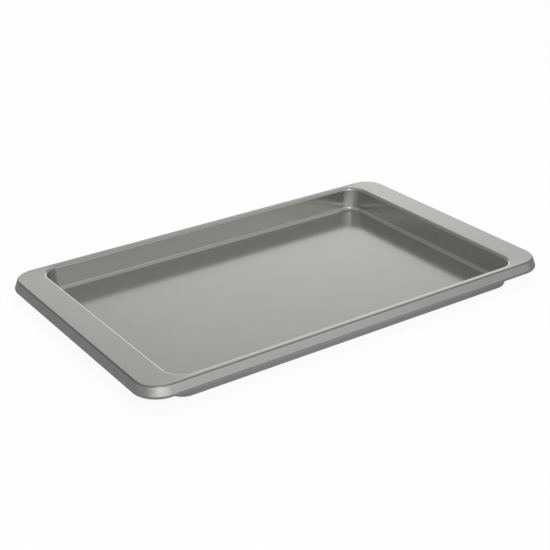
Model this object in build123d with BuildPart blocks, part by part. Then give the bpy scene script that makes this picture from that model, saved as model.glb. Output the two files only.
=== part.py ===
from build123d import *
import math
import os

os.makedirs("parts", exist_ok=True)

# Jelly roll pan with a 15 by 10 inch cavity, pressed from one steel blank.
# The origin is on the surface that the pan stands on, under the middle of its base.
# +X runs along the long sides, +Z is up, and every length is in millimetres.

# Sheet steel
sheet = 0.8                  # thickness, the same all over the pressing

# Cavity, measured on its upper face
cavity_length = 381.0        # wall to wall at the rim, 15 inches
cavity_width = 254.0         # wall to wall at the rim, 10 inches
cavity_depth = 24.6          # floor to the top of the rim
cavity_corner = 18.0         # plan radius of each corner at the rim
wall_lean = 2.8              # how far each wall comes in on its way down
mouth_bend = 2.2             # inside radius, where a wall turns out into the rim
floor_bend = 4.0             # inside radius, where a wall turns in to the floor

# Flat rim, between the bend at the cavity and the outer bend
end_land = 24.2              # wide land at each end, which the cook holds
side_land = 2.4              # narrow land along each long side
rim_corner = 20.0            # plan radius of the land's outer corners

# Skirt that turns down round the rim
rim_bend = 1.0               # inside radius of the outer bend
skirt_height = 11.7          # from the top of the rim to the underside of the curl
skirt_flare = 2.7            # how far the curl stands out past the outer bend
curl_turn = 270.0            # degrees that the edge is rolled round the wire

# Wire in the rolled edge
wire_diameter = 3.5
wire_clearance = 0.1         # left all round when the edge is rolled
wire_gap = 0.6               # between the wire's cut ends, at the middle of the front

# Heights and sizes that follow
top = sheet + cavity_depth
draft = math.degrees(math.atan2(wall_lean, cavity_depth))
level_wall = sheet / math.cos(math.radians(draft))
mouth_radius = mouth_bend + sheet
land_length = cavity_length + 2 * (mouth_radius + end_land)
land_width = cavity_width + 2 * (mouth_radius + side_land)

# Bend and curl, outside radii and centres, from the land's edge at the top of the rim
wire_radius = wire_diameter / 2
bend_radius = rim_bend + sheet
curl_radius = wire_radius + wire_clearance + sheet
bend_centre = Vector(0, -bend_radius)
curl_centre = Vector(bend_radius + skirt_flare - curl_radius, curl_radius - skirt_height)
centre_line = curl_centre - bend_centre
tangent_turn = math.acos((bend_radius - curl_radius) / centre_line.length)
skirt_angle = math.degrees(math.atan2(centre_line.Y, centre_line.X) + tangent_turn)
wire_length = land_length + 2 * curl_centre.X
wire_width = land_width + 2 * curl_centre.X
wire_height = top + curl_centre.Y


def loop_round_pan(length, width, corner):
    """Add a rounded loop to the open line builder, as two halves that meet at x = 0."""
    x, y = length / 2, width / 2
    FilletPolyline((0, -y), (-x, -y), (-x, y), (0, y), radius=corner)
    mirror(about=Plane.YZ)


def section_plane(loop_width, height):
    """Plane that cuts the rim square at the middle of the front side, with x outwards."""
    return Plane(origin=(0, -loop_width / 2, height), x_dir=(0, -1, 0), z_dir=(-1, 0, 0))


# Punch that draws the cavity: its outside is the upper face of the walls and the floor
with BuildPart() as punch:
    with BuildSketch(Plane.XY.offset(top)):
        RectangleRounded(cavity_length, cavity_width, cavity_corner)
    extrude(amount=cavity_depth, dir=(0, 0, -1), taper=draft)
    fillet(punch.faces().sort_by(Axis.Z)[0].edges(), floor_bend)

# One pressing: floor, drawn walls, flat rim with its two wide ends, skirt and curl
with BuildPart() as pan_shell:
    # The drawn body starts as a solid plug under the flat rim
    with BuildSketch(Plane.XY.offset(top)):
        RectangleRounded(
            cavity_length + 2 * level_wall,
            cavity_width + 2 * level_wall,
            cavity_corner + level_wall,
        )
    extrude(amount=top, dir=(0, 0, -1), taper=draft)
    fillet(pan_shell.faces().sort_by(Axis.Z)[0].edges(), floor_bend + sheet)
    with BuildSketch(Plane.XY.offset(top)):
        RectangleRounded(land_length, land_width, rim_corner)
    extrude(amount=-sheet)
    land_underside = pan_shell.faces().filter_by(Plane.XY).sort_by(Axis.Z)[1]
    fillet(land_underside.inner_wires()[0].edges(), mouth_bend)

    # The punch leaves one sheet of wall and floor
    add(punch.part, mode=Mode.SUBTRACT)
    land_top = pan_shell.faces().sort_by(Axis.Z)[-1]
    fillet(land_top.inner_wires()[0].edges(), mouth_radius)

    # The skirt follows the flat rim's outer edge as one unbroken section
    with BuildLine(Plane.XY.offset(top)) as land_edge:
        loop_round_pan(land_length, land_width, rim_corner)
    with BuildSketch(section_plane(land_width, top)):
        with BuildLine():
            starts, ends = [], []
            for depth in (0, sheet):
                bend = CenterArc(bend_centre, bend_radius - depth, 90, skirt_angle - 90)
                curl = CenterArc(curl_centre, curl_radius - depth, skirt_angle, -curl_turn)
                Line(bend @ 1, curl @ 0)
                starts.append(bend @ 0)
                ends.append(curl @ 1)
            Line(*starts)
            Line(*ends)
        make_face()
    sweep(path=land_edge.wire())

# Steel wire that the edge is rolled round, cut to length and butted at the front
with BuildPart() as rim_wire:
    with BuildLine(Plane.XY.offset(wire_height)) as wire_route:
        loop_round_pan(wire_length, wire_width, rim_corner + curl_centre.X)
    with BuildSketch(section_plane(wire_width, wire_height)):
        Circle(wire_radius)
    sweep(path=wire_route.wire())
    with Locations((0, -wire_width / 2, wire_height)):
        Box(wire_gap, 2 * wire_diameter, 2 * wire_diameter, mode=Mode.SUBTRACT)

pan_shell.part.label = "pan_shell"
rim_wire.part.label = "rim_wire"
export_step(pan_shell.part, "parts/pan_shell.step")
export_step(rim_wire.part, "parts/rim_wire.step")
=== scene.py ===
import math

import bpy
from mathutils import Matrix, Vector


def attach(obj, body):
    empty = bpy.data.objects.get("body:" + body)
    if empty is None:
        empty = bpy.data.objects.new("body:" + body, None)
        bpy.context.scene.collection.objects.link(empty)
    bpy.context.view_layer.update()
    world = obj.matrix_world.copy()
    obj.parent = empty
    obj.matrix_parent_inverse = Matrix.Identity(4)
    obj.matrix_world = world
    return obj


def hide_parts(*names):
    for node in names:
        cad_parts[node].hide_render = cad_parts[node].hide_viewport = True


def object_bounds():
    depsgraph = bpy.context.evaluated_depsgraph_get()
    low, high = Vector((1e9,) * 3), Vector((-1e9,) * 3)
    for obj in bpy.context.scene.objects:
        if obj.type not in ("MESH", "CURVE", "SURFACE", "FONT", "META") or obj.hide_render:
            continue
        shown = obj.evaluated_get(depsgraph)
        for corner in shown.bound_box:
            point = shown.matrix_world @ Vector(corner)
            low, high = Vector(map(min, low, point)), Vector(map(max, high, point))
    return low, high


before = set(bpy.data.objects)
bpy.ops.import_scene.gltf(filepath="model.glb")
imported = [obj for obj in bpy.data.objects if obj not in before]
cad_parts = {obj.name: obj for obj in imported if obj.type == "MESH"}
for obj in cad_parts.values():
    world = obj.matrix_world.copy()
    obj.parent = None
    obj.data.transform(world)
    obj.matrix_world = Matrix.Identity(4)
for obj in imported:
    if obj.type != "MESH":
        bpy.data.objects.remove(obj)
solid_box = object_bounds()

# Camera
# A long lens looks down on the near left corner of the pan, from 25 degrees above the table.
# The pan fills the width of a square picture.
camera_azimuth = math.radians(-34.303)       # from straight in front, towards the left end
camera_height = math.radians(25.179)
camera_roll = math.radians(-0.749)
camera_distance = 1.16441
looked_at = Vector((-0.01433, -0.01463, solid_box[1][2]))
focal_length_px = 1227.56
picture_px = 550
sensor_mm = 36


def direction(azimuth, height):
    """Unit vector at an angle round from the front of the pan, and an angle up from level."""
    level = math.cos(height)
    return Vector((math.sin(azimuth) * level, -math.cos(azimuth) * level, math.sin(height)))


def facing(place, towards):
    """Turns and moves a thing to a place, with its back to a direction and its top up."""
    right = Vector((0, 0, 1)).cross(towards).normalized()
    axes = Matrix((right, towards.cross(right), towards)).transposed()
    return Matrix.LocRotScale(place, axes, None)


bpy.ops.object.select_all(action="DESELECT")
bpy.ops.object.camera_add()
camera = bpy.context.object
to_camera = direction(camera_azimuth, camera_height)
upright = facing(looked_at + to_camera * camera_distance, to_camera)
camera.matrix_world = upright @ Matrix.Rotation(camera_roll, 4, "Z")
camera.data.sensor_width = sensor_mm
camera.data.lens = focal_length_px / picture_px * sensor_mm
bpy.context.scene.camera = camera

# Pressing
# One blank of sheet steel, drawn to make the cavity, turned down round the rim and rolled at the edge.
# Each bend is a spun arc and each flat an extruded line, and the two sections are carried round the pan.
mm = 0.001
sheet = 0.8 * mm
cavity_length = 381.0 * mm
cavity_width = 254.0 * mm
cavity_corner = 18.0 * mm
wall_lean = 2.8 * mm
mouth_bend = 3.0 * mm                        # radii of the face that shows
floor_bend = 4.0 * mm
end_land = 24.2 * mm
side_land = 2.4 * mm
land_rise = 0.2 * mm                         # the rim is this much lower at the mouth than at its edge
rim_corner = 20.0 * mm
rim_bend = 1.8 * mm
skirt_height = 11.7 * mm
skirt_flare = 2.7 * mm
curl_radius = 2.65 * mm
curl_turn = math.radians(270)
bend_steps = 12
curl_steps = 40
corner_steps = 24
long_side_steps = 16
short_side_steps = 10
same_place = sheet / 1000                    # points nearer than this are one point
crease_angle = math.radians(30)              # edges sharper than this stay sharp
flat_weight = 100                            # the most there is: flats stay flat, and bends do the turning

top = solid_box[1][2]
cavity_depth = top - sheet
cavity_reach = (cavity_length / 2 - cavity_corner, cavity_width / 2 - cavity_corner)
land_length = cavity_length + 2 * (mouth_bend + end_land)
land_width = cavity_width + 2 * (mouth_bend + side_land)
rim_reach = (land_length / 2 - rim_corner, land_width / 2 - rim_corner)


def start_section(name, x, y, z):
    """Start a piece with one point of its section, on the line where the front meets the left corner."""
    bpy.ops.object.select_all(action="DESELECT")
    bpy.ops.mesh.primitive_plane_add(size=sheet)
    bpy.context.object.name = name
    bpy.ops.object.mode_set(mode="EDIT")
    bpy.ops.mesh.merge(type="CENTER")
    bpy.ops.transform.translate(value=(x, y, z))
    return bpy.context.object


def bend(steps, turn, x, y, z, outwards):
    """Turn the section about a line along the front side, up from the floor or out and down."""
    axis = (-1, 0, 0) if outwards else (1, 0, 0)
    bpy.ops.mesh.spin(steps=steps, angle=turn, center=(x, y, z), axis=axis)


def draw_out(x, y, z):
    """Extrude what is selected."""
    bpy.ops.mesh.extrude_region_move(TRANSFORM_OT_translate={"value": (x, y, z)})


def carry_round(reach):
    """Carry the section along each side of the pan and round each corner, back to its start."""
    x, y = reach
    long_step = 2 * x / long_side_steps
    short_step = 2 * y / short_side_steps
    bpy.ops.mesh.select_all(action="SELECT")
    for corner, step, steps in (
        ((x, -y, 0), (long_step, 0, 0), long_side_steps),
        ((x, y, 0), (0, short_step, 0), short_side_steps),
        ((-x, y, 0), (-long_step, 0, 0), long_side_steps),
        ((-x, -y, 0), (0, -short_step, 0), short_side_steps),
    ):
        for _ in range(steps):
            draw_out(*step)
        bpy.ops.mesh.spin(steps=corner_steps, angle=math.pi / 2, center=corner, axis=(0, 0, -1))
    bpy.ops.mesh.select_all(action="SELECT")
    bpy.ops.mesh.remove_doubles(threshold=same_place)
    bpy.ops.object.mode_set(mode="OBJECT")


def select_level_edges(piece, *heights):
    """Select the edges that lie level at one of the heights, and go to edit mode."""
    bpy.ops.object.mode_set(mode="EDIT")
    bpy.ops.mesh.select_mode(type="EDGE")
    bpy.ops.mesh.select_all(action="DESELECT")
    bpy.ops.object.mode_set(mode="OBJECT")
    level = [any(abs(v.co.z - height) < same_place for height in heights) for v in piece.data.vertices]
    for edge in piece.data.edges:
        edge.select = all(level[i] for i in edge.vertices)
    bpy.ops.object.mode_set(mode="EDIT")


# Floor bend, leaning wall and bend at the mouth
lean = math.atan2(wall_lean, cavity_depth)
turn = math.pi / 2 - lean
floor_tangent = floor_bend * math.tan(turn / 2)
mouth_tangent = mouth_bend * math.tan(turn / 2)
mouth_top = top - land_rise
wall = math.hypot(wall_lean, cavity_depth) - land_rise / math.cos(lean) - floor_tangent - mouth_tangent
start = -cavity_reach[0]
floor_line = wall_lean - cavity_width / 2 + floor_tangent
mouth_line = land_rise * math.tan(lean) - cavity_width / 2 - mouth_tangent
cavity = start_section("cavity", start, floor_line, sheet)
bend(bend_steps, turn, start, floor_line, sheet + floor_bend, outwards=False)
draw_out(0, -wall * math.sin(lean), wall * math.cos(lean))
bend(bend_steps, turn, start, mouth_line, mouth_top - mouth_bend, outwards=True)
carry_round(cavity_reach)

# Bend at the rim, flared skirt and rolled edge
curl_out = rim_bend + skirt_flare - curl_radius
curl_drop = skirt_height - curl_radius - rim_bend
between = math.hypot(curl_out, curl_drop)
flare = math.atan2(curl_out, curl_drop) + math.asin((curl_radius - rim_bend) / between)
skirt_line = math.sqrt(between ** 2 - (curl_radius - rim_bend) ** 2)
start = -rim_reach[0]
land_line = -land_width / 2
skirt = start_section("skirt", start, land_line, top)
bend(bend_steps, math.pi / 2 - flare, start, land_line, top - rim_bend, outwards=True)
draw_out(0, -skirt_line * math.sin(flare), -skirt_line * math.cos(flare))
bend(curl_steps, curl_turn, start, land_line - curl_out, top - skirt_height + curl_radius, outwards=True)
carry_round(rim_reach)

# The flat rim joins the two, the floor closes the cavity, and the sheet gets its thickness
bpy.ops.object.select_all(action="DESELECT")
skirt.select_set(True)
cavity.select_set(True)
bpy.context.view_layer.objects.active = cavity
bpy.ops.object.join()
pressing = bpy.context.object
pressing.name = "coated_pressing"
select_level_edges(pressing, mouth_top, top)
bpy.ops.mesh.bridge_edge_loops()
select_level_edges(pressing, sheet)
bpy.ops.mesh.edge_face_add()
bpy.ops.mesh.select_all(action="SELECT")
bpy.ops.mesh.normals_make_consistent(inside=False)
bpy.ops.object.mode_set(mode="OBJECT")
cavity_floor = max(pressing.data.polygons, key=lambda face: face.area)
if cavity_floor.normal.z < 0:
    bpy.ops.object.mode_set(mode="EDIT")
    bpy.ops.mesh.flip_normals()
    bpy.ops.object.mode_set(mode="OBJECT")
thickness = pressing.modifiers.new("thickness", "SOLIDIFY")
thickness.thickness = sheet
thickness.offset = -1
thickness.use_even_offset = True
bpy.ops.object.modifier_apply(modifier=thickness.name)
bpy.ops.object.shade_smooth_by_angle(angle=crease_angle)
flats = pressing.modifiers.new("flats", "WEIGHTED_NORMAL")
flats.keep_sharp = True
flats.weight = flat_weight
bpy.ops.object.modifier_apply(modifier=flats.name)


def linear(hex_colour):
    """Linear RGBA of an sRGB colour written as a hex number."""
    parts = [(hex_colour >> shift & 255) / 255 for shift in (16, 8, 0)]
    return [p / 12.92 if p <= 0.04045 else ((p + 0.055) / 1.055) ** 2.4 for p in parts] + [1]


def add_node(tree, kind, settings, links=None):
    """Add a node, set its sockets and properties by name, and link outputs to its sockets."""
    node = tree.nodes.new(kind)
    for name, value in settings.items():
        if isinstance(name, int) or name in node.inputs:
            node.inputs[name].default_value = value
        else:
            setattr(node, name, value)
    for name, output in (links or {}).items():
        tree.links.new(output, node.inputs[name])
    return node


def new_material(name, settings):
    """A material with its one shader set, given with its node tree."""
    material = bpy.data.materials.new(name)
    material.use_nodes = True
    shader = material.node_tree.nodes["Principled BSDF"]
    for socket, value in settings.items():
        shader.inputs[socket].default_value = value
    return material, material.node_tree, shader


# Silicone nonstick coating with aluminium flake, sprayed on the steel and baked
# The flake gives a soft grey mirror with a fine sparkle, and the spray leaves it faintly cloudy and rippled.
# A fine darker line of painted shade runs round the pan on the tight bend at the rim.
# Real flakes are 0.05 mm across, too fine to show, so they are drawn as grains of half a millimetre.
grain_size = 0.5 * mm
cloud_size = 28 * mm
ripple_size = 1.8 * mm
ripple_height = 0.001 * mm
flake_share = 0.85                           # how much of the light meets flake and is mirrored as by metal
grain_colours = (0xADADA8, 0xB1B1AC)
grain_roughness = 0.01                       # the most that a grain adds
cloud_shades = (0.985, 1.015)
cloud_roughness = (0.145, 0.165)
usual_noise = (0.3, 0.7)                     # nearly all of a noise pattern lies between these
painted_line_height = top - 0.75 * mm                # middle of the painted shade line, on the bend at the rim
painted_line_reach = (0.3 * mm, 0.7 * mm)            # up or down from there, where the painted shade line fades and ends
painted_line_shade = 0.42                            # how much darker the painted shade line is
coating, tree, shader = new_material("grey_nonstick_coating", {"Metallic": flake_share})
where = add_node(tree, "ShaderNodeTexCoord", {})
grain = add_node(tree, "ShaderNodeTexVoronoi", {"Scale": 1 / grain_size},
                 {"Vector": where.outputs["Object"]})
grain_shade = add_node(tree, "ShaderNodeSeparateColor", {}, {0: grain.outputs["Color"]})
clouds = add_node(tree, "ShaderNodeTexNoise", {"Scale": 1 / cloud_size, "Detail": 3.0},
                  {"Vector": where.outputs["Object"]})
ripple = add_node(tree, "ShaderNodeTexNoise", {"Scale": 1 / ripple_size, "Detail": 1.0},
                  {"Vector": where.outputs["Object"]})
grain_tone = add_node(tree, "ShaderNodeMix", {
    "data_type": "RGBA", 6: linear(grain_colours[0]), 7: linear(grain_colours[1]),
}, {0: grain_shade.outputs["Red"]})
cloud_tone = add_node(tree, "ShaderNodeMapRange", {
    "From Min": usual_noise[0], "From Max": usual_noise[1],
    "To Min": cloud_shades[0], "To Max": cloud_shades[1],
}, {"Value": clouds.outputs[0]})
# Painted shade: a fine dark line on the bend at the rim, past the flat rim's rounded outline
from_middle = add_node(tree, "ShaderNodeVectorMath", {"operation": "ABSOLUTE"},
                       {0: where.outputs["Object"]})
past_reach = add_node(tree, "ShaderNodeVectorMath", {"operation": "SUBTRACT", 1: (*rim_reach, top)},
                      {0: from_middle.outputs[0]})
past_reach = add_node(tree, "ShaderNodeVectorMath", {"operation": "MAXIMUM", 1: (0, 0, 0)},
                      {0: past_reach.outputs[0]})
past_corner = add_node(tree, "ShaderNodeVectorMath", {"operation": "LENGTH"}, {0: past_reach.outputs[0]})
outside = add_node(tree, "ShaderNodeMath", {"operation": "GREATER_THAN", 1: rim_corner},
                   {0: past_corner.outputs["Value"]})
place = add_node(tree, "ShaderNodeSeparateXYZ", {}, {0: where.outputs["Object"]})
above = add_node(tree, "ShaderNodeMath", {"operation": "SUBTRACT", 1: painted_line_height}, {0: place.outputs["Z"]})
off = add_node(tree, "ShaderNodeMath", {"operation": "ABSOLUTE"}, {0: above.outputs[0]})
painted_line_darkening = add_node(tree, "ShaderNodeMapRange", {
    "From Min": painted_line_reach[0], "From Max": painted_line_reach[1], "To Min": -painted_line_shade, "To Max": 0.0,
}, {"Value": off.outputs[0]})
# The painted shade line darkens the cloudy tone
cloud_and_painted_line_tone = add_node(tree, "ShaderNodeMath", {"operation": "MULTIPLY_ADD"},
                     {0: painted_line_darkening.outputs["Result"], 1: outside.outputs[0], 2: cloud_tone.outputs["Result"]})
tone = add_node(tree, "ShaderNodeVectorMath", {"operation": "SCALE"},
                {0: grain_tone.outputs[2], "Scale": cloud_and_painted_line_tone.outputs[0]})
tree.links.new(tone.outputs[0], shader.inputs["Base Color"])
cloud_gloss = add_node(tree, "ShaderNodeMapRange", {
    "From Min": usual_noise[0], "From Max": usual_noise[1],
    "To Min": cloud_roughness[0], "To Max": cloud_roughness[1],
}, {"Value": clouds.outputs[0]})
gloss = add_node(tree, "ShaderNodeMath", {"operation": "MULTIPLY_ADD", 1: grain_roughness},
                 {0: grain_shade.outputs["Green"], 2: cloud_gloss.outputs["Result"]})
tree.links.new(gloss.outputs[0], shader.inputs["Roughness"])
relief = add_node(tree, "ShaderNodeBump", {"Strength": 1.0, "Distance": ripple_height},
                  {"Height": ripple.outputs[0]})
tree.links.new(relief.outputs[0], shader.inputs["Normal"])
pressing.data.materials.clear()
pressing.data.materials.append(coating)
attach(pressing, "root")
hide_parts("pan_shell")

# Wire
# Bright drawn steel wire, cut to length, bent round the rim and shut in by the rolled edge.
# The die leaves fine lines along it. The wire lies level, so lines that change with height alone follow it.
die_line = 0.12 * mm
stain_size = 14 * mm
stain_colours = (0xA09D98, 0xC4C2BE)
line_roughness = (0.25, 0.45)
drawn_steel, tree, shader = new_material("drawn_steel_wire", {"Metallic": 1.0})
where = add_node(tree, "ShaderNodeTexCoord", {})
height = add_node(tree, "ShaderNodeSeparateXYZ", {}, {0: where.outputs["Object"]})
lines = add_node(tree, "ShaderNodeTexNoise", {
    "noise_dimensions": "1D", "Scale": 1 / die_line, "Detail": 2.0,
}, {"W": height.outputs["Z"]})
stains = add_node(tree, "ShaderNodeTexNoise", {"Scale": 1 / stain_size, "Detail": 2.0},
                  {"Vector": where.outputs["Object"]})
steel_tone = add_node(tree, "ShaderNodeMix", {
    "data_type": "RGBA", 6: linear(stain_colours[0]), 7: linear(stain_colours[1]),
}, {0: stains.outputs[0]})
tree.links.new(steel_tone.outputs[2], shader.inputs["Base Color"])
steel_gloss = add_node(tree, "ShaderNodeMapRange", {
    "From Min": usual_noise[0], "From Max": usual_noise[1],
    "To Min": line_roughness[0], "To Max": line_roughness[1],
}, {"Value": lines.outputs[0]})
tree.links.new(steel_gloss.outputs["Result"], shader.inputs["Roughness"])
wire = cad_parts["rim_wire"]
wire.data.materials.clear()
wire.data.materials.append(drawn_steel)

# Paper
# A sheet of white paper lies under the pan and runs out of the picture.
# To the camera it is white of its own accord, apart from the small share that the lamps and shadows decide.
paper_size = 12
paper_drop = 0.2 * mm                        # below the pan, so that no two faces lie in one plane
paper_colour = 0xF5F5F5
paper_roughness = 0.9
paper_glow = 0.94                            # how much of its white doesn't depend on the light
bpy.ops.object.select_all(action="DESELECT")
bpy.ops.mesh.primitive_plane_add(size=paper_size, location=(0, 0, -paper_drop))
paper = bpy.context.object
paper.name = "white_paper"
material, tree, shader = new_material("white_paper", {
    "Base Color": linear(paper_colour),
    "Roughness": paper_roughness,
    "Specular IOR Level": 0.0,
})
path = add_node(tree, "ShaderNodeLightPath", {})
seen = add_node(tree, "ShaderNodeMath", {"operation": "MAXIMUM"},
                {0: path.outputs["Is Camera Ray"], 1: path.outputs["Is Glossy Ray"]})
seen = add_node(tree, "ShaderNodeMath", {"operation": "MAXIMUM"},
                {0: seen.outputs[0], 1: path.outputs["Is Transmission Ray"]})
share = add_node(tree, "ShaderNodeMath", {"operation": "MULTIPLY", 1: paper_glow}, {0: seen.outputs[0]})
glow = add_node(tree, "ShaderNodeEmission", {"Color": (1, 1, 1, 1), "Strength": 1.0})
mixed = add_node(tree, "ShaderNodeMixShader", {},
                 {0: share.outputs[0], 1: shader.outputs[0], 2: glow.outputs[0]})
tree.links.new(mixed.outputs[0], tree.nodes["Material Output"].inputs["Surface"])
paper.data.materials.append(material)

# Grey card
# The table as the rolled edge mirrors it. Shiny ware is stood on grey, so that its edges show on white.
# The card glows, so that the pan's own shadow doesn't blacken the edge, and glows most in front of the pan,
# as a painted pool of light from the front lights.
card_size = 8
card_drop = 0.1 * mm
card_tint = 0xF5F9FF
card_level = 0.34
card_lit_pool_level = 0.47
card_lit_pool_place = (-0.05, -0.35, 0)
card_lit_pool_reach = (0.21, 0.32)               # metres from that place where the painted pool of light starts to fade, and ends
bpy.ops.object.select_all(action="DESELECT")
bpy.ops.mesh.primitive_plane_add(size=card_size, location=(0, 0, -card_drop))
card = bpy.context.object
card.name = "grey_card"
card.visible_camera = False
card.visible_diffuse = False
card.visible_shadow = False
material, tree, shader = new_material("grey_card", {
    "Base Color": linear(0x000000),
    "Specular IOR Level": 0.0,
    "Emission Color": linear(card_tint),
})
where = add_node(tree, "ShaderNodeTexCoord", {})
# Painted pool of light: the glow is strongest near a place in front of the pan
far = add_node(tree, "ShaderNodeVectorMath", {"operation": "DISTANCE", 1: card_lit_pool_place},
               {0: where.outputs["Object"]})
level = add_node(tree, "ShaderNodeMapRange", {
    "From Min": card_lit_pool_reach[0], "From Max": card_lit_pool_reach[1],
    "To Min": card_lit_pool_level, "To Max": card_level,
}, {"Value": far.outputs["Value"]})
tree.links.new(level.outputs["Result"], shader.inputs["Emission Strength"])
card.data.materials.append(material)

# Light
# A grey room with soft lights, each an oval that is strongest in the middle and fades to its rim.
# A dark cloth is an oval that takes light away. One more lamp, hidden from mirrors, lights the table evenly.
room_colour = 0xFCFEFF
room_level = 0.42
ceiling_level = 0.57
ceiling_from = (0.48, 0.68)                  # sine of the height where it starts and where it is reached
soft_lights = (                              # azimuth, height and half sizes in degrees, strength, colour
    ("behind the pan", 144, 0, 45, 42, 1.49, 0xFFFEFC),
    ("along the front", -14, 12, 75, 40, 1.08, 0xF9FCFF),
    ("beside the camera", -30, 25, 25, 15, 1.6, 0xF9FCFF),
    ("small lamp", -22, 52, 9, 6, 14, 0xFFFEFC),
    ("over the right end", 100, 56, 55, 20, 0.3, 0xFCFEFF),
    ("low at the front right", 34, 12, 9, 9, 0.4, 0xF9FCFF),
    ("dark cloth over the left end", 200, 42, 45, 22, -0.3, 0xFFFFFF),
    ("dark cloth beside the left end", 222, 12, 55, 30, -0.09, 0xFFFFFF),
)
lamp_height = 1.6
lamp_size = 1.2
lamp_watts = 10
world = bpy.data.worlds.new("studio")
bpy.context.scene.world = world
world.use_nodes = True
tree = world.node_tree
where = add_node(tree, "ShaderNodeTexCoord", {})
towards = add_node(tree, "ShaderNodeSeparateXYZ", {}, {0: where.outputs["Generated"]})
ceiling = add_node(tree, "ShaderNodeMapRange", {
    "interpolation_type": "SMOOTHSTEP", "From Min": ceiling_from[0], "From Max": ceiling_from[1],
    "To Min": room_level, "To Max": ceiling_level,
}, {"Value": towards.outputs["Z"]})
room = add_node(tree, "ShaderNodeVectorMath", {"operation": "SCALE", 0: linear(room_colour)[:3]},
                {"Scale": ceiling.outputs["Result"]})
from_the_right = add_node(tree, "ShaderNodeMath", {"operation": "ARCTAN2"},
                          {0: towards.outputs["Y"], 1: towards.outputs["X"]})
height = add_node(tree, "ShaderNodeMath", {"operation": "ARCSINE"}, {0: towards.outputs["Z"]})
place = add_node(tree, "ShaderNodeCombineXYZ", {}, {0: from_the_right.outputs[0], 1: height.outputs[0]})
light = room.outputs[0]
for name, azimuth, above, half_width, half_height, strength, colour in soft_lights:
    middle = (math.radians(azimuth - 90), math.radians(above), 0)
    reach = (math.radians(half_width), math.radians(half_height), 1)
    off = add_node(tree, "ShaderNodeVectorMath", {"operation": "SUBTRACT", 1: middle}, {0: place.outputs[0]})
    share = add_node(tree, "ShaderNodeVectorMath", {"operation": "DIVIDE", 1: reach}, {0: off.outputs[0]})
    far = add_node(tree, "ShaderNodeVectorMath", {"operation": "LENGTH"}, {0: share.outputs[0]})
    glow = add_node(tree, "ShaderNodeMapRange", {
        "label": name, "interpolation_type": "SMOOTHSTEP",
        "From Min": 1.0, "From Max": 0.0, "To Min": 0.0, "To Max": strength,
    }, {"Value": far.outputs["Value"]})
    light = add_node(tree, "ShaderNodeVectorMath", {"operation": "MULTIPLY_ADD", 1: linear(colour)[:3]},
                     {0: glow.outputs["Result"], 2: light}).outputs[0]
tree.links.new(light, tree.nodes["Background"].inputs["Color"])

bpy.ops.object.select_all(action="DESELECT")
bpy.ops.object.light_add(type="AREA", location=(0, 0, lamp_height))
table_light = bpy.context.object
table_light.data.size = lamp_size
table_light.data.energy = lamp_watts
table_light.visible_glossy = False

bpy.context.scene.view_settings.view_transform = "Standard"
